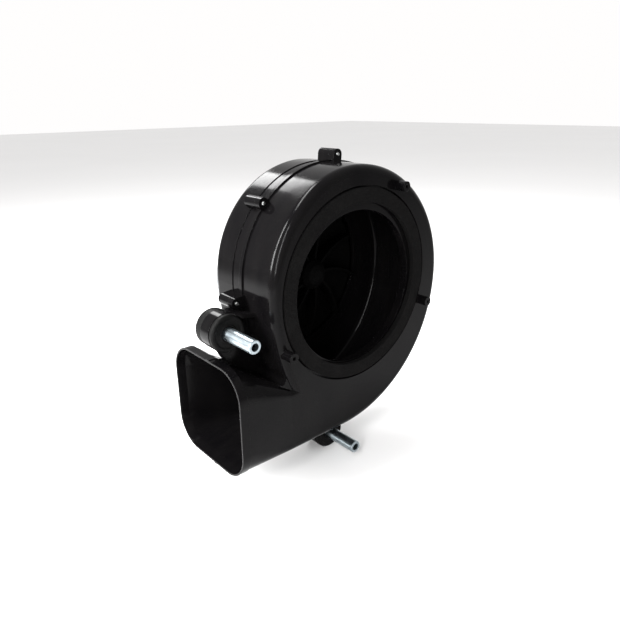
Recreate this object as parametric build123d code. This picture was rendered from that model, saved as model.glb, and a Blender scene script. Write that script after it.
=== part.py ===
from build123d import *
import os
from math import asin, cos, hypot, radians, sin, tan

# A combustion fan: a two-part plastic scroll with a paddle wheel on the shaft of a
# brushed DC motor, hung from two rubber grommets with steel bushes.
# Millimetres.  The fan axis is Y, running back from the inlet.  Seen from the inlet,
# +X is to the right and +Z is up.  The origin is on the fan axis, in the plane of the
# inlet's front edge.

# ------------------------------------------------------------------ driving dimensions
wall = 2.2
inlet_radius = 54.0
inlet_length = 6.0

front_face_y = -3.6
seam_y = 31.5
rear_face_y = 63.0
shoulder_radius = 6.0

# The scroll's outer wall is a spiral of three quarter arcs, each larger than the last by
# one step.  It starts at its leftmost point and grows clockwise, seen from the front, to
# its lowest point.
scroll_left_x, scroll_left_z = -75.1, 8.7
scroll_radius = 74.9
scroll_step = 12.8

# The tongue is the edge where the scroll's left wall meets the top of the outlet duct.
# The left wall is an arc that runs on past the tongue, inside the duct's throat.
tongue_x, tongue_z = -62.5, -56.0
left_wall_end_z = -80.0
notch_radius = 3.0

# The outlet duct flares from the scroll's section to a rounded square rim.
rim_x = -104.5
rim_depth, rim_height = 79.0, 76.5
rim_mid_y, rim_mid_z = 34.5, -71.7
rim_corner = 20.0
collar_length = 6.0
collar_step = 0.5
rim_edge = 1.3
neck_length = 18.0

# The seam: a raised bead on the front half.  Beside it, on the rear half, a narrow gap at
# the edge of a shallow band.
bead_height, bead_width = 1.0, 3.0
gap_depth, gap_width = 1.4, 1.5
band_depth, band_width = 0.5, 9.0

# The foam seal lies in a recess round the inlet, a little above the fan axis.
foam_z = 2.2
foam_outer, foam_inner = 67.0, 57.0
foam_front_y = -4.4
recess_radius = 68.3

# Screw posts on the front face: radius and angle from the fan axis.
post_places = [(76.2, 61.2), (72.3, -19.3), (72.3, -155.4)]
post_radius = 3.5
post_front_y = -10.9
post_hole_radius = 1.25
post_hole_depth = 12.0

# Screws that hold the two halves together: degrees clockwise from the left, and the
# distance outside the scroll's wall.
seam_places = [(-5.5, 7.0), (43, 3.2), (94.5, 4.6), (144, 4.6), (194, 4.6), (244, 4.6)]
seam_boss_radius = 3.75
seam_lug_length, seam_boss_length = 5.0, 11.0
seam_screw_radius = 1.4
seam_hole_radius = 1.6
seam_screw_tip = 0.8

# Mounting eyes, each with a rubber grommet and a steel bush.
left_eye = (-94.2, -14.2)
bottom_eye = (-7.3, -121.8)
eye_radius, eye_bore = 12.8, 8.5
eye_front_y = 22.0
grommet_front_y, grommet_rear_y = 18.4, 39.1
grommet_flange = 12.5
bush_radius, bush_bore = 4.5, 2.65
bush_front_y, bush_rear_y = -9.4, 44.0
web_front_y, rib_front_y, rib_thickness = 28.0, 17.0, 2.5

# The motor opening in the rear wall, the collar behind it and the plate on the collar.
opening_radius = 59.1
collar_inner = 62.2
collar_outer = 64.7
collar_rear_y = 73.6
plate_screw_angles = [90.0, -30.0, -150.0]
plate_screw_circle = 68.5
plate_boss_radius = 4.5
gasket_thickness = 1.0
plate_thickness = 2.5
plate_front_y = collar_rear_y + gasket_thickness
plate_rear_y = plate_front_y + plate_thickness

# The motor.
can_radius, can_wall = 25.0, 1.5
can_rear_y = 121.0
nose_radius = 8.0
nose_front_y = 72.0
shaft_radius = 3.0
running_gap = 0.03
shaft_front_y, shaft_rear_y = 44.5, 126.0
core_radius = 19.6
core_front_y, core_rear_y = 86.0, 106.0
slot_count = 12
commutator_radius = 8.5
commutator_front_y, commutator_rear_y = 111.0, 118.0
cap_rear_y = 128.0
motor_screw_circle = 16.0

# The fan wheel.
wheel_radius = 56.0
wheel_disc_y, wheel_disc_thickness = 62.2, 2.2
blade_count = 10
blade_thickness = 1.8
blade_root, blade_sweep = 9.0, 14.0
blade_front_root_y, blade_front_tip_y = 44.0, 56.0
hub_radius, hub_front_y = 11.0, 38.0
insert_radius, insert_front_y = 6.5, 44.0


# ------------------------------------------------------------------ helpers
def axial(sketch, y0, y1):
    """A sketch drawn in (x, z), made solid from y0 back to y1."""
    plane = Plane((0, y1, 0), x_dir=(1, 0, 0), z_dir=(0, -1, 0))
    return extrude(plane * sketch, amount=y1 - y0)


def rod(radius, y0, y1, x=0.0, z=0.0):
    return axial(Pos(x, z) * Circle(radius), y0, y1)


def ring(outer, inner, y0, y1, x=0.0, z=0.0):
    return axial(Pos(x, z) * (Circle(outer) - Circle(inner)), y0, y1)


def turned(outline, x=0.0, z=0.0):
    """A closed (radius, y) outline turned about an axis parallel to Y."""
    face = make_face(Polyline(*outline, close=True))
    return Pos(x, 0, z) * revolve(face, Axis.Y, 360)


def polar(radius, angle):
    """(x, z) at an angle in degrees, from +X towards +Z."""
    return radius * cos(radians(angle)), radius * sin(radians(angle))


def around(solid, count, start=0.0):
    """Copies of a solid, evenly spaced about the fan axis."""
    return [Rot(0, start + 360.0 * i / count, 0) * solid for i in range(count)]


def slab(y0, y1):
    size = 600.0
    return Pos(0, 0.5 * (y0 + y1), 0) * Box(size, y1 - y0, size)


# ------------------------------------------------------------------ housing shape
def quarter_arc(quarter):
    """The centre and radius of one of the scroll's three quarter arcs."""
    x = scroll_left_x + scroll_radius
    z = scroll_left_z
    if quarter >= 1:
        z -= scroll_step
    if quarter >= 2:
        x -= scroll_step
    return x, z, scroll_radius + quarter * scroll_step


def arc_point(quarter, degrees, outwards=0.0):
    x, z, radius = quarter_arc(quarter)
    turn = radians(degrees)
    return x - (radius + outwards) * cos(turn), z + (radius + outwards) * sin(turn)


def wall_point(degrees, outwards=0.0):
    """A point on the scroll's wall, by degrees clockwise from the left."""
    quarter = min(max(int(degrees // 90), 0), 2)
    return arc_point(quarter, degrees, outwards)


bottom_z = wall_point(270)[1]


def left_wall_point(z, outwards):
    """A point of the left wall's arc, which passes through the tongue."""
    across = tongue_x - scroll_left_x
    down = scroll_left_z - tongue_z
    radius = (across**2 + down**2) / (2 * across)
    turn = asin((scroll_left_z - z) / radius)
    x = scroll_left_x + radius - (radius + outwards) * cos(turn)
    return x, scroll_left_z - (radius + outwards) * sin(turn)


def scroll_outline(grow):
    """The scroll from the front, with its wall moved outwards by `grow`."""
    quarters = [
        ThreePointArc(*[arc_point(quarter, 90 * quarter + turn, grow) for turn in (0, 45, 90)])
        for quarter in range(3)
    ]
    start, end = wall_point(0, grow), wall_point(270, grow)
    left_end = left_wall_point(left_wall_end_z, grow)
    left_wall = TangentArc(start, left_end, tangent=(0, -1))
    throat = Polyline(left_end, (left_end[0], end[1]), end)
    return make_face(quarters + [left_wall, throat])


def scroll_drum(grow):
    """The scroll as a solid with rounded front and rear shoulders."""
    drum = axial(scroll_outline(grow), front_face_y - grow, rear_face_y + grow)
    ends = drum.faces().sort_by(Axis.Y)
    rims = ends[0].edges() + ends[-1].edges()
    throat_x = left_wall_point(left_wall_end_z, grow)[0]
    rounded = [edge for edge in rims if abs(edge.center().X - throat_x) > 0.1]
    return fillet(rounded, shoulder_radius + grow)


def duct_section(x, mid_y, mid_z, depth, height, corner):
    plane = Plane((x, mid_y, mid_z), x_dir=(0, 1, 0), z_dir=(1, 0, 0))
    return plane * RectangleRounded(depth, height, corner)


def rim_section(x, grow):
    size = (rim_depth + 2 * grow, rim_height + 2 * grow, rim_corner + grow)
    return duct_section(x, rim_mid_y, rim_mid_z, *size)


def outlet_duct(grow):
    """The flaring duct, with a neck that reaches back into the scroll."""
    mid_y = 0.5 * (front_face_y + rear_face_y)
    mid_z = 0.5 * (bottom_z + tongue_z)
    depth = rear_face_y - front_face_y + 2 * grow
    height = tongue_z - bottom_z + 2 * grow
    throat = duct_section(tongue_x, mid_y, mid_z, depth, height, shoulder_radius + grow)
    neck = extrude(throat, amount=neck_length)
    flare = loft([throat, rim_section(rim_x + collar_length, grow)])
    spout = extrude(rim_section(rim_x, grow), amount=collar_length)
    return neck + flare + spout


def housing_body(grow):
    return scroll_drum(grow) + outlet_duct(grow)


def rim_collar():
    section = rim_section(rim_x, collar_step)
    return extrude(section, amount=collar_length)


def rim_mouth():
    """The draft inside the rim, which thins its wall to a narrow edge."""
    mouth = rim_section(rim_x, collar_step - rim_edge)
    return loft([mouth, rim_section(rim_x + collar_length, -wall)])


# ------------------------------------------------------------------ housing details
def seam_boss(degrees, offset, y0, y1):
    """A round screw boss outside the wall, with a foot that reaches the wall."""
    x, z = wall_point(degrees, offset)
    foot = Pos(-seam_boss_radius, 0) * Rectangle(2 * seam_boss_radius, 2 * seam_boss_radius)
    shape = Circle(seam_boss_radius) + foot
    return axial(Pos(x, z) * Rot(0, 0, 180 - degrees) * shape, y0, y1)


def seam_bosses(y0, y1):
    return [seam_boss(*place, y0, y1) for place in seam_places]


def seam_rods(radius, y0, y1):
    return [rod(radius, y0, y1, *wall_point(*place)) for place in seam_places]


def tongue_fillet(y0, y1):
    """Fills the bottom of the notch over the tongue, down to a round."""
    wall_up = Vector(-0.36, 0.93).normalized()
    duct_up = Vector(rim_x + collar_length - tongue_x, rim_mid_z + 0.5 * rim_height - tongue_z)
    duct_up = duct_up.normalized()
    middle = (wall_up + duct_up).normalized()
    half_angle = radians(0.5 * wall_up.get_angle(duct_up))
    tongue = Vector(tongue_x, tongue_z)
    reach = notch_radius / tan(half_angle)
    centre = tongue + middle * (notch_radius / sin(half_angle))
    on_wall = tongue + wall_up * reach + Vector(1, 0)
    on_duct = tongue + duct_up * reach + Vector(0, -1)
    root = tongue + Vector(2, -2)
    corners = [(point.X, point.Y) for point in (root, on_wall, centre, on_duct)]
    filling = make_face(Polyline(*corners, close=True))
    return axial(filling - Pos(centre.X, centre.Y) * Circle(notch_radius), y0, y1)


def post(radius, y0, y1, place):
    x, z = polar(*place)
    return rod(radius, y0, y1, x, z)


def left_web_outline():
    """The web that fills the notch between the left eye, the scroll and the duct."""
    x, z = left_eye
    top = (x, z + eye_radius)
    wall_top = (scroll_left_x + wall, z + eye_radius - 4.0)
    below_tongue = (tongue_x + 1.0, tongue_z - 1.0)
    on_duct = (x + 5.0, z - eye_radius - 13.0)
    low = (x - 3.0, z - eye_radius + 0.5)
    outline = Polyline(top, wall_top, below_tongue, on_duct, low, (x, z), close=True)
    return make_face(outline)


def left_web_rib():
    """The rib along the web's top edge, from the eye to the scroll."""
    x, z = left_eye
    end = scroll_left_x + wall
    top, end_top = z + eye_radius, z + eye_radius - 4.0
    outline = Polyline((x, top), (end, end_top), (end, end_top - rib_thickness),
                       (x, top - rib_thickness), close=True)
    return make_face(outline)


def bottom_web_outline():
    x, z = bottom_eye
    foot_z = bottom_z + 1.0
    outline = Polyline((x - 24, foot_z), (x - 9, z + 6), (x + 9, z + 6), (x + 22, foot_z + 1),
                       close=True)
    return make_face(outline)


def mounting_eyes():
    """The two eyes and their webs, on the front half."""
    eyes = [rod(eye_radius, eye_front_y, seam_y, *place) for place in (left_eye, bottom_eye)]
    webs = [
        axial(left_web_outline(), web_front_y, seam_y),
        axial(left_web_rib(), rib_front_y, seam_y),
        axial(bottom_web_outline(), eye_front_y + 2.0, seam_y),
    ]
    return eyes + webs


def eye_cuts():
    """Room for each grommet's body and front flange."""
    cuts = []
    for place in (left_eye, bottom_eye):
        cuts.append(rod(eye_bore, eye_front_y - 1, seam_y + 1, *place))
        cuts.append(rod(grommet_flange + 0.3, rib_front_y - 1, eye_front_y, *place))
    return cuts


def front_shell():
    outside = housing_body(0) & slab(front_face_y - 6, seam_y)
    bead = housing_body(bead_height) & slab(seam_y - bead_width, seam_y)
    collar = rim_collar() & slab(-20, seam_y)
    shell = outside + bead + collar + seam_bosses(seam_y - seam_lug_length, seam_y)
    shell = shell + mounting_eyes() + tongue_fillet(front_face_y + 2, seam_y)
    shell = shell - housing_body(-wall) - rim_mouth()
    seat = rod(recess_radius + wall, front_face_y, wall, z=foam_z)
    nozzle = rod(inlet_radius + wall, 0, inlet_length)
    posts = [post(post_radius, post_front_y, wall, place) for place in post_places]
    shell = shell + seat + nozzle + posts
    recess = rod(recess_radius, front_face_y - 10, 0, z=foam_z)
    kept_posts = [post(post_radius, post_front_y, 0, place) for place in post_places]
    shell = shell - recess + kept_posts
    holes = [
        post(post_hole_radius, post_front_y, post_front_y + post_hole_depth, place)
        for place in post_places
    ]
    screw_holes = seam_rods(seam_screw_radius, seam_y - seam_lug_length - 1, seam_y)
    inlet = rod(inlet_radius, -20, inlet_length)
    return shell - holes - screw_holes - inlet - eye_cuts()


def rear_ribs():
    """Radial ribs on the rear wall, from the collar out to the shoulder."""
    ribs = []
    for degrees in range(105, 290, 25):
        x, z = wall_point(degrees, -shoulder_radius - 3)
        inner, outer = collar_outer - 1, hypot(x, z)
        rib = Pos(-0.5 * (inner + outer), rear_face_y + 2, 0) * Box(outer - inner, 4, 2)
        ribs.append(Rot(0, degrees, 0) * rib)
    return ribs


def plate_bosses(radius, y0, y1):
    places = [polar(plate_screw_circle, angle) for angle in plate_screw_angles]
    return [rod(radius, y0, y1, x, z) for x, z in places]


def rear_web():
    """The saddle between the scroll and the left eye, clear of the grommet."""
    web = axial(left_web_outline(), seam_y, seam_y + 3.5)
    return web - rod(grommet_flange + 0.8, seam_y - 1, seam_y + 10, *left_eye)


def rear_shell():
    outside = housing_body(0) & slab(seam_y, rear_face_y + 20)
    band = slab(seam_y, seam_y + band_width) - housing_body(-band_depth)
    gap = slab(seam_y, seam_y + gap_width) - housing_body(-gap_depth)
    collar = rim_collar() & slab(seam_y, 120)
    shell = (outside - band - gap) + collar + seam_bosses(seam_y, seam_y + seam_boss_length)
    shell = shell + rear_web() + tongue_fillet(seam_y, rear_face_y - 2)
    shell = shell - housing_body(-wall) - rim_mouth()
    shell = shell + ring(collar_outer, collar_inner, rear_face_y - 1, collar_rear_y)
    shell = shell + plate_bosses(plate_boss_radius, rear_face_y - 1, collar_rear_y)
    shell = shell + rear_ribs()
    opening = rod(opening_radius, rear_face_y - 10, rear_face_y + 1)
    bore = rod(collar_inner, rear_face_y, collar_rear_y)
    screw_holes = seam_rods(seam_hole_radius, seam_y, seam_y + seam_boss_length)
    plate_holes = plate_bosses(post_hole_radius, rear_face_y + 0.5, collar_rear_y)
    return shell - opening - bore - screw_holes - plate_holes


def inlet_foam_seal():
    return ring(foam_outer, foam_inner, foam_front_y, 0, z=foam_z)


def grommet(place):
    outline = [
        (bush_radius, grommet_front_y + 0.6), (bush_radius + 1.2, grommet_front_y),
        (grommet_flange - 0.8, grommet_front_y), (grommet_flange, grommet_front_y + 0.8),
        (grommet_flange, eye_front_y), (eye_bore, eye_front_y), (eye_bore, seam_y),
        (grommet_flange, seam_y), (grommet_flange, grommet_rear_y - 1.0),
        (grommet_flange - 1.0, grommet_rear_y), (bush_radius, grommet_rear_y),
    ]
    return turned(outline, *place)


def bush(place):
    tube = ring(bush_radius, bush_bore, bush_front_y, bush_rear_y, *place)
    rims = tube.edges().filter_by(GeomType.CIRCLE)
    return chamfer([e for e in rims if abs(e.radius - bush_radius) < 0.01], 0.4)


def pan_screw(shank, head, head_height, y_tip, y_seat):
    """A pan-head screw with its tip towards the front and a cross recess in its head."""
    outline = [
        (0, y_tip), (shank - 0.5, y_tip), (shank, y_tip + 0.8), (shank, y_seat),
        (head, y_seat), (head, y_seat + 0.6 * head_height),
        (0.7 * head, y_seat + head_height), (0, y_seat + head_height),
    ]
    recess_y = y_seat + 0.7 * head_height
    arms = [Box(head, head_height, 0.3 * head), Box(0.3 * head, head_height, head)]
    cross = [Pos(0, recess_y + 0.5 * head_height, 0) * arm for arm in arms]
    return turned(outline) - cross


def seam_screws():
    tip_y = seam_y - seam_lug_length - seam_screw_tip
    screw = pan_screw(seam_screw_radius, 2.8, 2.0, tip_y, seam_y + seam_boss_length)
    places = [wall_point(*place) for place in seam_places]
    return [Pos(x, 0, z) * screw for x, z in places]


# ------------------------------------------------------------------ motor plate
def plate_outline():
    ears = [Pos(*polar(plate_screw_circle, a)) * Circle(plate_boss_radius)
            for a in plate_screw_angles]
    return Circle(collar_outer) + ears


def plate_hole_cuts(y0, y1):
    return plate_bosses(seam_hole_radius, y0, y1)


def motor_gasket():
    seal = axial(plate_outline() - Circle(collar_inner), collar_rear_y, plate_front_y)
    return seal - plate_hole_cuts(collar_rear_y, plate_front_y)


def motor_plate():
    plate = axial(plate_outline(), plate_front_y, plate_rear_y)
    plate = plate - plate_hole_cuts(plate_front_y, plate_rear_y)
    plate = plate - rod(nose_radius + 0.3, plate_front_y, plate_rear_y)
    screw_hole = Pos(motor_screw_circle, 0, 0) * rod(2.2, plate_front_y, plate_rear_y)
    bead = ring(44.0, 40.0, plate_rear_y, plate_rear_y + 1.2)
    return plate + bead - around(screw_hole, 2, 45)


def motor_plate_screws():
    """Screws from behind, into the collar's bosses."""
    tip_y = rear_face_y + 2.0
    screw = pan_screw(post_hole_radius, 3.0, 2.2, tip_y, plate_rear_y)
    places = [polar(plate_screw_circle, angle) for angle in plate_screw_angles]
    return [Pos(x, 0, z) * screw for x, z in places]


def motor_mounting_screws():
    """Two screws from the wheel side, through the plate, into the can's front wall."""
    head_y = plate_front_y - 2.2
    outline = [(0, head_y), (2.2, head_y), (3.4, head_y + 0.9), (3.4, plate_front_y),
               (2.0, plate_front_y), (2.0, plate_rear_y + 2.5), (0, plate_rear_y + 2.5)]
    slot = Pos(0, head_y, 0) * Box(7, 1.6, 0.8)
    screw = Pos(motor_screw_circle, 0, 0) * (turned(outline) - slot)
    return around(screw, 2, 45)


# ------------------------------------------------------------------ motor, fixed parts
def motor_can():
    """A drawn steel can with a bearing nose at its front."""
    front = plate_rear_y
    outline = [
        (nose_radius - can_wall, nose_front_y + can_wall), (shaft_radius + 1.2, nose_front_y + can_wall),
        (shaft_radius + 1.2, nose_front_y), (nose_radius, nose_front_y), (nose_radius, front),
        (can_radius - 1.5, front), (can_radius, front + 1.5), (can_radius, can_rear_y),
        (can_radius - can_wall, can_rear_y), (can_radius - can_wall, front + can_wall),
        (nose_radius - can_wall, front + can_wall),
    ]
    screw_hole = Pos(motor_screw_circle, 0, 0) * rod(2.0, front, front + can_wall)
    return turned(outline) - around(screw_hole, 2, 45)


def sintered_bearing(y0, y1, outer):
    hole = shaft_radius + running_gap
    outline = [(hole, y0), (outer - 0.5, y0), (outer, y0 + 0.5), (outer, y1 - 0.5),
               (outer - 0.5, y1), (hole, y1)]
    return turned(outline)


def front_bearing():
    return sintered_bearing(nose_front_y + can_wall, plate_rear_y + can_wall, nose_radius - can_wall)


def rear_bearing():
    return sintered_bearing(can_rear_y + 0.5, shaft_rear_y - 0.5, nose_radius - can_wall)


def field_magnets():
    outer = can_radius - can_wall
    tube = ring(outer, core_radius + 0.5, core_front_y - 3, core_rear_y + 3)
    gap = Box(200, 300, 16)
    return (tube - gap).solids()


def motor_end_cap():
    """The plastic cap: closes the can and carries the rear bearing."""
    pocket = nose_radius - can_wall
    outline = [
        (can_radius - can_wall - 0.05, can_rear_y - 2), (can_radius - can_wall - 0.05, can_rear_y),
        (can_radius, can_rear_y), (can_radius, can_rear_y + 1.5), (can_radius - 1.5, can_rear_y + 3),
        (nose_radius + 2, can_rear_y + 3), (nose_radius + 1, cap_rear_y), (0, cap_rear_y),
        (0, shaft_rear_y + 0.5), (shaft_radius + 1, shaft_rear_y + 0.5),
        (shaft_radius + 1, shaft_rear_y - 0.5), (pocket, shaft_rear_y - 0.5),
        (pocket, can_rear_y + 0.5), (can_radius - can_wall - 2, can_rear_y + 0.5),
        (can_radius - can_wall - 2, can_rear_y - 2),
    ]
    slots = [Pos(side * 14, can_rear_y + 1, 0) * Box(1.0, 12, 6.5) for side in (-1, 1)]
    return turned(outline) - slots


def terminal_blades():
    """Two flat blades, 6.3 by 0.8, that stand out of the end cap."""
    front, rear = commutator_rear_y + 1.9, can_rear_y + 13
    blade = Box(0.8, rear - front, 6.3)
    hole = Pos(0, 0.5 * (rear - front) - 3.5, 0) * Rot(0, 90, 0) * Cylinder(0.8, 2)
    return [Pos(side * 14, 0.5 * (front + rear), 0) * (blade - hole) for side in (-1, 1)]


def brush_card():
    """A card across the back of the can that carries the brush holders."""
    front, rear = commutator_rear_y + 0.5, commutator_rear_y + 1.9
    return ring(can_radius - can_wall - 2.1, commutator_radius + 1.5, front, rear)


def brush_holders():
    """Two square brass tubes, one each side of the commutator."""
    length, width = 10.0, 5.0
    front, rear = commutator_front_y + 1.0, commutator_rear_y + 0.5
    mid_y = 0.5 * (front + rear)
    outer = Box(length, rear - front, width)
    inner = Box(length, rear - front - 1.0, width - 1.0)
    tube = Pos(commutator_radius + 1.5 + 0.5 * length, mid_y, 0) * (outer - inner)
    return around(tube, 2, 90)


def carbon_brushes():
    height = commutator_rear_y - commutator_front_y - 1.6
    mid_y = 0.5 * (commutator_front_y + commutator_rear_y) + 0.75
    face_radius = commutator_radius + 0.1
    block = Pos(face_radius + 3.0, mid_y, 0) * Box(6.0, height, 3.9)
    brush = block - rod(face_radius, commutator_front_y, commutator_rear_y + 1)
    return around(brush, 2, 90)


def brush_springs():
    """A small coil spring behind each brush."""
    turns, length, coil_radius, wire = 5, 4.6, 1.4, 0.2
    path = Helix(pitch=length / turns, height=length, radius=coil_radius)
    start = Plane(path @ 0, z_dir=path % 0)
    coil = sweep(start * Circle(wire), path)
    mid_y = 0.5 * (commutator_front_y + commutator_rear_y) + 0.75
    spring = Pos(commutator_radius + 6.4, mid_y, 0) * Rot(0, 90, 0) * coil
    return around(spring, 2, 90)


# ------------------------------------------------------------------ rotor
def motor_shaft():
    outline = [
        (0, shaft_front_y), (shaft_radius - 0.5, shaft_front_y), (shaft_radius, shaft_front_y + 0.5),
        (shaft_radius, shaft_rear_y), (0, shaft_rear_y),
    ]
    return turned(outline)


def slot_cut():
    """One armature slot: a narrow mouth and a round-bottomed pocket."""
    pocket_radius, pocket_centre = 2.6, 14.2
    mouth_end = core_radius + 1
    mouth = Pos(0.5 * (pocket_centre + mouth_end), 0) * Rectangle(mouth_end - pocket_centre, 1.8)
    return mouth + Pos(pocket_centre, 0) * Circle(pocket_radius)


def armature_core():
    outline = Circle(core_radius) - Circle(shaft_radius)
    cut = slot_cut()
    slots = [Rot(0, 0, 360.0 * i / slot_count) * cut for i in range(slot_count)]
    return axial(outline - slots, core_front_y, core_rear_y)


def armature_windings():
    """Copper: a bar in each slot, joined by a rounded bundle at each end of the core."""
    bar = Pos(14.2, 0, 0) * rod(2.4, core_front_y - 1, core_rear_y + 1)
    coils = around(bar, slot_count)
    for y0, y1 in ((core_front_y - 5.5, core_front_y - 0.1), (core_rear_y + 0.1, core_rear_y + 4.5)):
        bundle = turned([(7.0, y0 + 1), (9.0, y0), (15.0, y0), (17.0, y0 + 1.5),
                         (17.0, y1 - 0.5), (15.5, y1), (7.0, y1)])
        coils.append(bundle)
    return Part() + coils


def commutator_sleeve():
    return ring(5.6, shaft_radius, commutator_front_y - 0.4, commutator_rear_y)


def commutator_bars():
    tube = ring(commutator_radius, 5.6, commutator_front_y, commutator_rear_y)
    gaps = around(Pos(7, 0.5 * (commutator_front_y + commutator_rear_y), 0) * Box(6, 20, 0.5),
                  slot_count)
    return (tube - gaps).solids()


def thrust_washers():
    """A hard washer on the shaft inside each bearing."""
    front = plate_rear_y + can_wall + 0.3
    rear = can_rear_y + 0.2
    return [ring(4.6, shaft_radius, front, front + 0.8), ring(4.6, shaft_radius, rear - 0.8, rear)]


def blade():
    """One paddle, swept back a little and lower at its tip than at its root."""
    tip = wheel_radius - 1.5
    middle = polar(0.55 * tip, -0.35 * blade_sweep)
    arc = ThreePointArc((blade_root, 0), middle, polar(tip, -blade_sweep))
    strip = make_face(offset(arc, 0.5 * blade_thickness, side=Side.BOTH, kind=Kind.ARC))
    solid = axial(strip, blade_front_root_y, wheel_disc_y + 0.5)
    trim = turned([(0, 0), (wheel_radius + 2, 0), (wheel_radius + 2, blade_front_tip_y),
                   (0, blade_front_root_y)])
    return solid - trim


def impeller():
    """The wheel: a back disc, a closed hub and swept paddles, in one moulding."""
    rear = wheel_disc_y + wheel_disc_thickness
    body = turned([
        (0, hub_front_y), (4, hub_front_y + 0.5), (8, hub_front_y + 2.5),
        (hub_radius, hub_front_y + 6), (hub_radius + 2, wheel_disc_y - 6),
        (hub_radius + 9, wheel_disc_y), (wheel_radius, wheel_disc_y), (wheel_radius, rear),
        (insert_radius, rear), (insert_radius, insert_front_y), (0, insert_front_y),
    ])
    blades = around(blade(), blade_count)
    core = rod(insert_radius, insert_front_y, rear + 1)
    return body + blades - core


def impeller_hub_insert():
    """A brass bush moulded into the hub, pressed on the shaft."""
    return ring(insert_radius, shaft_radius, insert_front_y, wheel_disc_y + wheel_disc_thickness)


# ------------------------------------------------------------------ the assembly
def assembly():
    """Every node's name, with one solid or a list of separate solids."""
    return {
        "front_shell": front_shell(),
        "rear_shell": rear_shell(),
        "inlet_foam_seal": inlet_foam_seal(),
        "left_grommet": grommet(left_eye),
        "bottom_grommet": grommet(bottom_eye),
        "left_bush": bush(left_eye),
        "bottom_bush": bush(bottom_eye),
        "seam_screws": seam_screws(),
        "motor_gasket": motor_gasket(),
        "motor_plate": motor_plate(),
        "motor_plate_screws": motor_plate_screws(),
        "motor_mounting_screws": motor_mounting_screws(),
        "motor_can": motor_can(),
        "front_bearing": front_bearing(),
        "rear_bearing": rear_bearing(),
        "field_magnets": field_magnets(),
        "brush_card": brush_card(),
        "brush_holders": brush_holders(),
        "carbon_brushes": carbon_brushes(),
        "brush_springs": brush_springs(),
        "terminal_blades": terminal_blades(),
        "motor_end_cap": motor_end_cap(),
        "motor_shaft": motor_shaft(),
        "armature_core": armature_core(),
        "armature_windings": armature_windings(),
        "commutator_sleeve": commutator_sleeve(),
        "commutator_bars": commutator_bars(),
        "thrust_washers": thrust_washers(),
        "impeller": impeller(),
        "impeller_hub_insert": impeller_hub_insert(),
    }


def separate_solids(shape):
    """The solids of one piece, or of a list of identical pieces."""
    pieces = shape if isinstance(shape, list) else [shape]
    return [solid for piece in pieces for solid in piece.solids()]


os.makedirs("parts", exist_ok=True)
for name, shape in assembly().items():
    solids = separate_solids(shape)
    node = solids[0] if len(solids) == 1 else Compound(children=solids)
    export_step(node, f"parts/{name}.step")
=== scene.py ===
from math import cos, pi, radians, sin

import bpy
import numpy as np
from mathutils import Matrix, Vector


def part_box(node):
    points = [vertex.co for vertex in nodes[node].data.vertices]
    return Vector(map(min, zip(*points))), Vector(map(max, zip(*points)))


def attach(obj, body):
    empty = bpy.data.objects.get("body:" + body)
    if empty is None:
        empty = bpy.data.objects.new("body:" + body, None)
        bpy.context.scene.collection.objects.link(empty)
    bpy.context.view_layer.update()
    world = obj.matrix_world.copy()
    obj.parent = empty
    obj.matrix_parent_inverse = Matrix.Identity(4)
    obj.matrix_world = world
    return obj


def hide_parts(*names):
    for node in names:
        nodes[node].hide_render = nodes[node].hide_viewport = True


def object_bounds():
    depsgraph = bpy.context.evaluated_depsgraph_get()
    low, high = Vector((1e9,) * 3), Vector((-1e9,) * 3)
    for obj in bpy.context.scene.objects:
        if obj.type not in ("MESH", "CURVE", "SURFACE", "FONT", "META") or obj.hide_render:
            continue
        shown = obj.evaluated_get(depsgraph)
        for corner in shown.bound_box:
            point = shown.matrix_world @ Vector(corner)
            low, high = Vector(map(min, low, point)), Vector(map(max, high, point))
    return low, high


# A combustion fan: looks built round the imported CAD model.  Metres, in the CAD's frame.
MM = 0.001
EYE_SPAN = (22 * MM, 31.5 * MM)
FOAM_WIDTH = 10 * MM
FLOOR_GAP = 0.5 * MM

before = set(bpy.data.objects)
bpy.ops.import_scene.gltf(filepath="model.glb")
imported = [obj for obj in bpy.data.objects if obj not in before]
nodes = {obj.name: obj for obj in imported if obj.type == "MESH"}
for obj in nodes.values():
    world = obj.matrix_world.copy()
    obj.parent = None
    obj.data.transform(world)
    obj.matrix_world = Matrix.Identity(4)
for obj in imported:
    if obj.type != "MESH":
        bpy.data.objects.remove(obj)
cad_low, cad_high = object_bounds()


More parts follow.
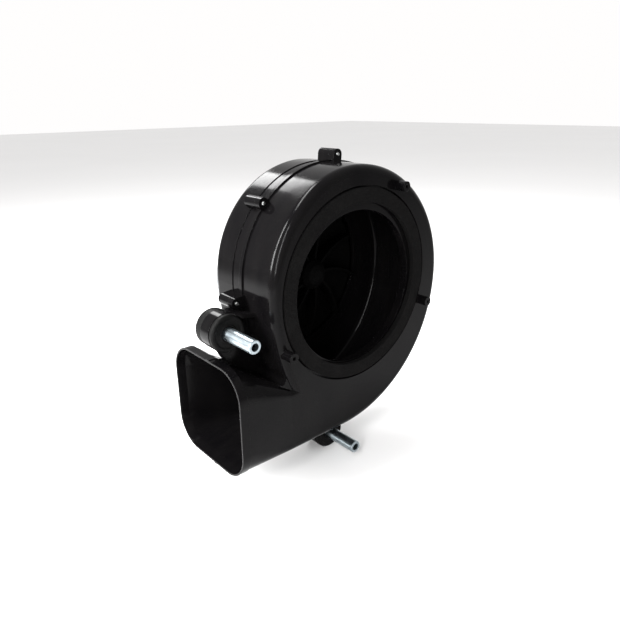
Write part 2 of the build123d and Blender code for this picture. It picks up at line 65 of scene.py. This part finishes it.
# ------------------------------------------------------------------ shader helpers
class Shader:
    """A material with object coordinates and a principled surface, and short calls to add to it."""

    def __init__(self, name):
        self.material = bpy.data.materials.new(name)
        self.material.use_nodes = True
        self.tree = self.material.node_tree
        self.surface = self.tree.nodes["Principled BSDF"]
        self.coords = self.add("ShaderNodeTexCoord").outputs["Object"]

    def add(self, kind, **settings):
        node = self.tree.nodes.new(kind)
        for key, value in settings.items():
            setattr(node, key, value)
        return node

    def link(self, source, target):
        self.tree.links.new(source, target)

    def put(self, socket, value):
        self.surface.inputs[socket].default_value = value

    def stretched(self, x, y, z):
        """Coordinates scaled along each axis, to draw a texture out into lines."""
        node = self.add("ShaderNodeMapping")
        node.inputs["Scale"].default_value = (x, y, z)
        self.link(self.coords, node.inputs["Vector"])
        return node.outputs["Vector"]

    def noise(self, size, detail=3.0, coords=None):
        """Noise with features about `size` metres across."""
        node = self.add("ShaderNodeTexNoise")
        node.inputs["Scale"].default_value = 1.0 / size
        node.inputs["Detail"].default_value = detail
        self.link(coords or self.coords, node.inputs["Vector"])
        return node.outputs["Fac"]

    def cells(self, size):
        """Distance to the nearest of scattered points, about `size` metres apart."""
        node = self.add("ShaderNodeTexVoronoi")
        node.inputs["Scale"].default_value = 1.0 / size
        self.link(self.coords, node.inputs["Vector"])
        return node.outputs["Distance"]

    def spread(self, value, low, high, start=0.3, end=0.7):
        """A value between start and end, mapped to low and high."""
        node = self.add("ShaderNodeMapRange")
        node.inputs["From Min"].default_value = start
        node.inputs["From Max"].default_value = end
        node.inputs["To Min"].default_value = low
        node.inputs["To Max"].default_value = high
        self.link(value, node.inputs["Value"])
        return node.outputs["Result"]

    def combine(self, operation, first, second):
        node = self.add("ShaderNodeMath", operation=operation)
        for socket, value in zip(node.inputs, (first, second)):
            if isinstance(value, (int, float)):
                socket.default_value = value
            else:
                self.link(value, socket)
        return node.outputs["Value"]

    def mix(self, factor, first, second):
        """A colour between two, each a triple or another node's colour."""
        node = self.add("ShaderNodeMix", data_type="RGBA")
        self.link(factor, node.inputs["Factor"])
        for socket, colour in ((node.inputs[6], first), (node.inputs[7], second)):
            if isinstance(colour, tuple):
                socket.default_value = (*colour, 1.0)
            else:
                self.link(colour, socket)
        return node.outputs[2]

    def colour(self, value):
        self.link(value, self.surface.inputs["Base Color"])

    def rough(self, value):
        self.link(value, self.surface.inputs["Roughness"])

    def bump(self, height, strength, depth, normal=None):
        """Relief from a height, `depth` metres deep.  Returns the normal, to add more on top."""
        node = self.add("ShaderNodeBump")
        node.inputs["Strength"].default_value = strength
        node.inputs["Distance"].default_value = depth
        self.link(height, node.inputs["Height"])
        if normal:
            self.link(normal, node.inputs["Normal"])
        self.link(node.outputs["Normal"], self.surface.inputs["Normal"])
        return node.outputs["Normal"]

    def soft_edges(self, radius):
        """A normal that rounds the sharp edges, as moulded and stamped parts have them."""
        node = self.add("ShaderNodeBevel", samples=4)
        node.inputs["Radius"].default_value = radius
        return node.outputs["Normal"]

    def scratches(self, coverage):
        """Fine crossing scratches, 0 to 1."""
        along = self.noise(0.7 * MM, 2, self.stretched(1.0, 0.03, 0.25))
        across = self.noise(0.8 * MM, 2, self.stretched(0.05, 1.0, 0.6))
        lines = self.combine("MAXIMUM", along, across)
        marks = self.spread(lines, 0.0, 1.0, 0.74, 0.80)
        patches = self.spread(self.noise(18 * MM, 2), 0.0, coverage, 0.45, 0.7)
        return self.combine("MULTIPLY", marks, patches)


# ------------------------------------------------------------------ plastics and rubber
def moulded_black():
    """Glossy black moulded plastic: faint flow marks, orange peel, handling scuffs and dust."""
    s = Shader("moulded_black")
    flow = s.noise(26 * MM, 4, s.stretched(1.0, 2.2, 0.5))
    dust = s.spread(s.noise(1.1 * MM, 4), 0.0, 0.35, 0.66, 0.80)
    base = s.mix(s.spread(flow, 0, 1), (0.0012, 0.0011, 0.0013), (0.0024, 0.0022, 0.0023))
    s.colour(s.mix(dust, base, (0.014, 0.013, 0.012)))
    scuffs = s.scratches(0.6)
    polish = s.spread(s.noise(9 * MM, 5), 0.10, 0.18)
    s.rough(s.combine("ADD", polish, s.combine("MULTIPLY", scuffs, 0.22)))
    peel = s.bump(s.noise(1.6 * MM, 2), 0.10, 0.05 * MM, s.soft_edges(0.45 * MM))
    s.bump(scuffs, 0.12, 0.03 * MM, peel)
    s.put("Specular IOR Level", 0.045)
    return s.material


def wheel_black():
    """The fan wheel's filled plastic: matte, with a faint grain and dust on the blades."""
    s = Shader("wheel_black")
    dust = s.spread(s.noise(6 * MM, 5), 0.0, 0.5, 0.5, 0.8)
    base = s.mix(s.noise(2 * MM), (0.0008, 0.0008, 0.0008), (0.0018, 0.0018, 0.0018))
    s.colour(s.mix(dust, base, (0.003, 0.0028, 0.0026)))
    s.rough(s.spread(s.noise(4 * MM, 4), 0.55, 0.75))
    s.bump(s.noise(0.5 * MM, 3), 0.3, 0.05 * MM)
    s.put("Specular IOR Level", 0.02)
    return s.material


def cap_black():
    """The motor cap's matte plastic, with a spark-eroded grain."""
    s = Shader("cap_black")
    s.colour(s.mix(s.noise(3 * MM, 4), (0.005, 0.005, 0.0055), (0.010, 0.0095, 0.0095)))
    s.rough(s.spread(s.noise(2 * MM, 4), 0.45, 0.65))
    s.bump(s.cells(0.35 * MM), 0.35, 0.06 * MM)
    s.put("Specular IOR Level", 0.12)
    return s.material


def foam_black():
    """Closed-cell foam: cut cells, a powdery face and no gloss."""
    s = Shader("foam_black")
    cells = s.cells(0.75 * MM)
    tone = s.mix(s.spread(cells, 0, 1, 0.1, 0.7), (0.0010, 0.0010, 0.0011), (0.0036, 0.0034, 0.0034))
    worn = s.spread(s.noise(14 * MM, 4), 0.0, 0.5, 0.5, 0.75)
    s.colour(s.mix(worn, tone, (0.005, 0.0048, 0.0047)))
    s.rough(s.spread(s.noise(3 * MM, 3), 0.86, 0.98))
    fine = s.bump(cells, 0.8, 0.25 * MM)
    s.bump(s.noise(0.25 * MM, 2), 0.5, 0.1 * MM, fine)
    s.put("Specular IOR Level", 0.04)
    return s.material


def grommet_rubber():
    """Moulded rubber: dark, matte, with bloom in patches."""
    s = Shader("grommet_rubber")
    bloom = s.spread(s.noise(5 * MM, 5), 0.0, 0.55, 0.48, 0.78)
    base = s.mix(s.noise(1.2 * MM, 3), (0.0012, 0.0012, 0.0012), (0.0028, 0.0028, 0.0027))
    s.colour(s.mix(bloom, base, (0.006, 0.006, 0.0062)))
    s.rough(s.spread(s.noise(2 * MM, 4), 0.42, 0.62))
    s.bump(s.noise(0.4 * MM, 3), 0.35, 0.05 * MM)
    s.put("Specular IOR Level", 0.05)
    return s.material


def sheet_rubber():
    s = Shader("sheet_rubber")
    s.colour(s.mix(s.noise(3 * MM, 4), (0.010, 0.010, 0.010), (0.022, 0.021, 0.020)))
    s.rough(s.spread(s.noise(1.5 * MM, 3), 0.7, 0.9))
    s.bump(s.noise(0.3 * MM, 2), 0.4, 0.05 * MM)
    return s.material


# ------------------------------------------------------------------ metals
def zinc_plate(name, tint=(0.30, 0.345, 0.37)):
    """Bright zinc plate: bluish, with drawn lines, cloudy patches and a little tarnish."""
    s = Shader(name)
    cloud = s.spread(s.noise(3.5 * MM, 5), 0, 1)
    dull = tuple(0.72 * c for c in tint)
    clean = s.mix(cloud, dull, tint)
    spots = s.spread(s.noise(0.9 * MM, 4), 0.0, 0.6, 0.66, 0.80)
    s.colour(s.mix(spots, clean, (0.16, 0.15, 0.13)))
    drawn = s.noise(0.35 * MM, 3, s.stretched(1.0, 0.04, 1.0))
    s.rough(s.combine("ADD", s.spread(drawn, 0.26, 0.38), s.combine("MULTIPLY", spots, 0.2)))
    s.bump(drawn, 0.12, 0.02 * MM)
    s.put("Metallic", 1.0)
    return s.material


def galvanised():
    """Galvanised sheet: large soft crystals, roll marks and white bloom at the edges."""
    s = Shader("galvanised")
    crystals = s.cells(7 * MM)
    tone = s.mix(s.spread(crystals, 0, 1, 0.1, 0.8), (0.17, 0.18, 0.19), (0.25, 0.26, 0.27))
    bloom = s.spread(s.noise(5 * MM, 6), 0.0, 0.45, 0.55, 0.80)
    s.colour(s.mix(bloom, tone, (0.30, 0.31, 0.31)))
    rolled = s.noise(0.5 * MM, 3, s.stretched(0.03, 1.0, 1.0))
    s.rough(s.combine("ADD", s.spread(rolled, 0.30, 0.44), s.combine("MULTIPLY", bloom, 0.3)))
    s.bump(rolled, 0.15, 0.02 * MM)
    s.put("Metallic", 1.0)
    return s.material


def drawn_can():
    """The motor can: nickel-bright drawn steel with lines along its length and fingerprints."""
    s = Shader("drawn_can")
    lines = s.noise(0.4 * MM, 3, s.stretched(1.0, 0.02, 1.0))
    prints = s.spread(s.noise(7 * MM, 6), 0.0, 0.5, 0.52, 0.72)
    tone = s.mix(s.spread(lines, 0, 1), (0.20, 0.195, 0.185), (0.28, 0.275, 0.265))
    s.colour(s.mix(prints, tone, (0.15, 0.14, 0.13)))
    s.rough(s.combine("ADD", s.spread(lines, 0.20, 0.30), s.combine("MULTIPLY", prints, 0.2)))
    s.bump(lines, 0.12, 0.015 * MM)
    s.put("Metallic", 1.0)
    return s.material


def ground_steel():
    s = Shader("ground_steel")
    rings = s.noise(0.25 * MM, 2, s.stretched(0.15, 1.0, 0.15))
    s.colour(s.mix(s.noise(4 * MM, 4), (0.22, 0.22, 0.22), (0.32, 0.315, 0.31)))
    s.rough(s.spread(rings, 0.14, 0.30))
    s.bump(rings, 0.2, 0.01 * MM)
    s.put("Metallic", 1.0)
    return s.material


def sheet_brass():
    s = Shader("sheet_brass")
    tarnish = s.spread(s.noise(2.5 * MM, 5), 0.0, 0.7, 0.45, 0.75)
    s.colour(s.mix(tarnish, (0.42, 0.29, 0.11), (0.20, 0.12, 0.05)))
    grain = s.spread(s.noise(1 * MM, 3), 0.20, 0.32)
    s.rough(s.combine("ADD", grain, s.combine("MULTIPLY", tarnish, 0.2)))
    s.bump(s.noise(0.4 * MM, 2, s.stretched(1.0, 0.08, 0.4)), 0.15, 0.02 * MM)
    s.put("Metallic", 1.0)
    return s.material


def sintered_bronze():
    """Porous bearing bronze, dark with oil."""
    s = Shader("sintered_bronze")
    pores = s.spread(s.cells(0.3 * MM), 1.0, 0.0, 0.05, 0.30)
    s.colour(s.mix(pores, (0.46, 0.30, 0.16), (0.10, 0.06, 0.03)))
    s.rough(s.spread(s.noise(1 * MM, 3), 0.32, 0.55))
    s.bump(pores, 0.4, -0.04 * MM)
    s.put("Metallic", 0.9)
    return s.material


def ferrite():
    s = Shader("ferrite")
    s.colour(s.mix(s.noise(1.5 * MM, 5), (0.035, 0.035, 0.038), (0.085, 0.083, 0.082)))
    s.rough(s.spread(s.noise(0.8 * MM, 3), 0.40, 0.62))
    s.bump(s.noise(0.25 * MM, 2), 0.3, 0.03 * MM)
    return s.material


def laminations():
    """Stacked sheets seen from the side as fine lines across the axis."""
    s = Shader("laminations")
    edges = s.add("ShaderNodeTexWave", bands_direction="Y")
    edges.inputs["Scale"].default_value = 160.0
    s.link(s.coords, edges.inputs["Vector"])
    lines = edges.outputs["Fac"]
    rust = s.spread(s.noise(2 * MM, 5), 0.0, 0.5, 0.55, 0.75)
    steel = s.mix(lines, (0.10, 0.10, 0.11), (0.34, 0.34, 0.35))
    s.colour(s.mix(rust, steel, (0.20, 0.10, 0.05)))
    s.rough(s.spread(s.noise(1 * MM, 3), 0.35, 0.55))
    s.bump(lines, 0.4, 0.05 * MM)
    s.put("Metallic", 0.85)
    return s.material


def copper_wire():
    """Enamelled wire: close strands with a clear red-brown lacquer."""
    s = Shader("copper_wire")
    strands = s.noise(0.45 * MM, 2, s.stretched(0.25, 1.0, 1.0))
    s.colour(s.mix(s.spread(strands, 0, 1), (0.30, 0.09, 0.035), (0.66, 0.27, 0.12)))
    s.rough(s.spread(s.noise(1 * MM, 3), 0.22, 0.36))
    s.bump(strands, 0.7, 0.15 * MM)
    s.put("Metallic", 0.9)
    s.put("Coat Weight", 0.5)
    s.put("Coat Roughness", 0.12)
    return s.material


def commutator_copper():
    s = Shader("commutator_copper")
    track = s.noise(0.3 * MM, 3, s.stretched(0.1, 1.0, 0.1))
    s.colour(s.mix(s.spread(track, 0, 1), (0.42, 0.17, 0.08), (0.74, 0.36, 0.20)))
    s.rough(s.spread(track, 0.22, 0.42))
    s.bump(track, 0.25, 0.02 * MM)
    s.put("Metallic", 1.0)
    return s.material


def phenolic(name, dark, light):
    """Brown resin board or moulding with paper fibre in it."""
    s = Shader(name)
    fibre = s.noise(0.6 * MM, 4, s.stretched(0.2, 1.0, 1.0))
    s.colour(s.mix(s.spread(fibre, 0, 1), dark, light))
    s.rough(s.spread(s.noise(2 * MM, 4), 0.35, 0.55))
    s.bump(fibre, 0.2, 0.03 * MM)
    return s.material


def carbon():
    s = Shader("carbon")
    s.colour(s.mix(s.noise(0.8 * MM, 4), (0.012, 0.012, 0.012), (0.05, 0.048, 0.046)))
    s.rough(s.spread(s.noise(0.6 * MM, 3), 0.45, 0.7))
    s.bump(s.noise(0.2 * MM, 2), 0.4, 0.03 * MM)
    return s.material


# ------------------------------------------------------------------ pieces
def mesh_object(name, points, faces, material, smooth=True):
    mesh = bpy.data.meshes.new(name)
    mesh.from_pydata([tuple(p) for p in points], [], faces)
    mesh.update()
    piece = bpy.data.objects.new(name, mesh)
    bpy.context.scene.collection.objects.link(piece)
    mesh.materials.append(material)
    for polygon in mesh.polygons:
        polygon.use_smooth = smooth
    return piece


def lathe(name, outline, centre, material, segments):
    """A closed (radius, y) outline turned about an axis along Y through centre."""
    rows = len(outline)
    points = []
    for i in range(segments):
        turn = 2 * pi * i / segments
        for radius, y in outline:
            points.append((centre[0] + radius * cos(turn), y, centre[1] + radius * sin(turn)))
    faces = []
    for i in range(segments):
        after = (i + 1) % segments
        for j in range(rows):
            below = (j + 1) % rows
            faces.append((i * rows + j, i * rows + below, after * rows + below, after * rows + j))
    return mesh_object(name, points, faces, material)


def rounded(outline, radius, steps=4):
    """The outline with each corner cut to an arc-like curve of about that radius."""
    result = []
    count = len(outline)
    for i in range(count):
        corner = Vector(outline[i])
        before = Vector(outline[i - 1]) - corner
        after = Vector(outline[(i + 1) % count]) - corner
        reach = min(radius, 0.45 * before.length, 0.45 * after.length)
        start = corner + before.normalized() * reach
        end = corner + after.normalized() * reach
        for k in range(steps + 1):
            t = k / steps
            point = start * (1 - t) ** 2 + corner * 2 * t * (1 - t) + end * t**2
            result.append((point.x, point.y))
    return result


def foam_seal():
    """The cut foam ring in its recess: soft edges and a slightly uneven face."""
    low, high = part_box("inlet_foam_seal")
    centre = ((low.x + high.x) / 2, (low.z + high.z) / 2)
    outer = (high.x - low.x) / 2
    inner = outer - FOAM_WIDTH
    face, back = low.y, high.y
    steps = 10
    front_row = [(outer - FOAM_WIDTH * k / steps, face) for k in range(steps + 1)]
    corners = [(outer, back)] + front_row + [(inner, back)]
    outline = rounded(corners, 0.9 * MM)
    piece = lathe("foam_ring", outline, centre, foam_black(), 360)
    random = np.random.default_rng(7)
    waves = [
        (random.integers(3, 14), random.uniform(0, 2 * pi), random.uniform(0.2, 1.0))
        for _ in range(6)
    ]
    for vertex in piece.data.vertices:
        x, z = vertex.co.x - centre[0], vertex.co.z - centre[1]
        turn = np.arctan2(z, x)
        sag = sum(size * (1 + sin(count * turn + phase)) for count, phase, size in waves)
        depth = (back - vertex.co.y) / (back - face)
        vertex.co.y += 0.05 * MM * sag * depth + 0.04 * MM * random.standard_normal() * depth
        vertex.co.y = max(vertex.co.y, face)
    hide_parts("inlet_foam_seal")
    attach(piece, "housing")


def rubber_grommet(name, node, bush, material):
    """A two-flange grommet with a waist in the eye, lips at the bush and a ridge on each flange."""
    low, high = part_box(node)
    bush_low, bush_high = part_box(bush)
    centre = ((low.x + high.x) / 2, (low.z + high.z) / 2)
    outer = (high.x - low.x) / 2
    bore = (bush_high.x - bush_low.x) / 2
    front, rear = low.y, high.y
    eye_front, eye_rear = EYE_SPAN
    waist = outer - 4 * MM
    outline = [
        (bore + 0.02 * MM, front + 0.5 * MM), (bore + 0.9 * MM, front + 0.1 * MM),
        (bore + 1.8 * MM, front + 0.6 * MM), (outer - 3.2 * MM, front + 0.6 * MM),
        (outer - 2.4 * MM, front), (outer - 0.9 * MM, front), (outer, front + 0.9 * MM),
        (outer, eye_front), (waist, eye_front), (waist, eye_rear), (outer, eye_rear),
        (outer, rear - 1.2 * MM), (outer - 1.2 * MM, rear), (outer - 3.0 * MM, rear),
        (outer - 3.8 * MM, rear - 0.6 * MM), (bore + 1.2 * MM, rear - 0.6 * MM),
        (bore + 0.02 * MM, rear - 0.2 * MM),
    ]
    piece = lathe(name, rounded(outline, 0.35 * MM, 3), centre, material, 96)
    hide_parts(node)
    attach(piece, "housing")


def paint_nodes(finishes):
    """Each CAD node that stays in view takes its own detailed material."""
    for material, names in finishes:
        for name in names:
            slots = nodes[name].data.materials
            slots.clear()
            slots.append(material)


# ------------------------------------------------------------------ studio
def studio_floor():
    size = 6.0
    material = Shader("studio_floor")
    material.colour(material.mix(material.noise(0.5, 2), (0.74, 0.74, 0.74), (0.77, 0.77, 0.77)))
    material.rough(material.spread(material.noise(0.2, 2), 0.75, 0.85))
    z = cad_low.z - FLOOR_GAP
    corners = [(-size, -size, z), (size, -size, z), (size, size, z), (-size, size, z)]
    floor = mesh_object("floor", corners, [(0, 1, 2, 3)], material.material, False)


def soft_box(name, place, aim, width, height, power):
    light = bpy.data.lights.new(name, "AREA")
    light.shape = "RECTANGLE"
    light.size, light.size_y = width, height
    light.energy = power
    lamp = bpy.data.objects.new(name, light)
    bpy.context.scene.collection.objects.link(lamp)
    lamp.location = place
    lamp.rotation_euler = (Vector(aim) - Vector(place)).to_track_quat("-Z", "Y").to_euler()


def studio_light():
    """A white room, a soft box over the back and narrow strips that draw lines along the edges."""
    world = bpy.data.worlds.new("studio")
    world.use_nodes = True
    background = world.node_tree.nodes["Background"]
    background.inputs["Color"].default_value = (1.0, 0.99, 0.985, 1.0)
    background.inputs["Strength"].default_value = 1.0
    bpy.context.scene.world = world
    middle = (cad_low + cad_high) / 2
    soft_box("over_back", middle + Vector((0.14, 0.74, 0.60)), middle, 0.24, 0.24, 4)
    soft_box("left_arch", middle + Vector((-0.66, 0.20, 0.38)), middle, 0.12, 0.60, 24)
    soft_box("top_arch", middle + Vector((-0.16, 0.20, 0.80)), middle, 0.60, 0.12, 12)
    soft_box("front_arch", middle + Vector((-0.62, -0.47, 0.34)), middle, 0.07, 0.60, 9)
    bpy.context.scene.view_settings.view_transform = "Standard"


def camera():
    """The camera looks down from the outlet's side, a third of a metre away."""
    azimuth, elevation, roll = radians(-40.98), radians(20.18), radians(-0.68)
    target = Vector((-46.6, -4.4, -3.8)) * MM
    away = Vector((sin(azimuth) * cos(elevation), -cos(azimuth) * cos(elevation), sin(elevation)))
    distance = 0.3618
    data = bpy.data.cameras.new("camera")
    data.lens = 32.71
    data.sensor_width = 36.0
    data.clip_start = 0.01
    eye = bpy.data.objects.new("camera", data)
    bpy.context.scene.collection.objects.link(eye)
    eye.location = target + away * distance
    facing = away.to_track_quat("Z", "Y")
    eye.rotation_euler = (facing.to_matrix() @ Matrix.Rotation(roll, 3, "Z")).to_euler()
    bpy.context.scene.camera = eye


# ------------------------------------------------------------------ the scene
zinc = zinc_plate("zinc_plate")
rubber = grommet_rubber()
brass = sheet_brass()
steel = ground_steel()
black = moulded_black()
paint_nodes([
    (black, ["front_shell", "rear_shell"]),
    (zinc, ["left_bush", "bottom_bush"]),
    (zinc_plate("screw_zinc", (0.30, 0.305, 0.30)),
     ["seam_screws", "motor_plate_screws", "motor_mounting_screws"]),
    (sheet_rubber(), ["motor_gasket"]),
    (galvanised(), ["motor_plate"]),
    (drawn_can(), ["motor_can"]),
    (cap_black(), ["motor_end_cap"]),
    (brass, ["terminal_blades", "brush_holders", "impeller_hub_insert"]),
    (sintered_bronze(), ["front_bearing", "rear_bearing"]),
    (ferrite(), ["field_magnets"]),
    (laminations(), ["armature_core"]),
    (copper_wire(), ["armature_windings"]),
    (commutator_copper(), ["commutator_bars"]),
    (phenolic("sleeve_resin", (0.10, 0.045, 0.02), (0.22, 0.11, 0.05)), ["commutator_sleeve"]),
    (phenolic("card_board", (0.16, 0.08, 0.035), (0.34, 0.20, 0.10)), ["brush_card"]),
    (carbon(), ["carbon_brushes"]),
    (steel, ["motor_shaft", "thrust_washers", "brush_springs"]),
    (wheel_black(), ["impeller"]),
])
foam_seal()
for side in ("left", "bottom"):
    rubber_grommet(f"{side}_grommet_rubber", f"{side}_grommet", f"{side}_bush", rubber)
studio_floor()
studio_light()
camera()
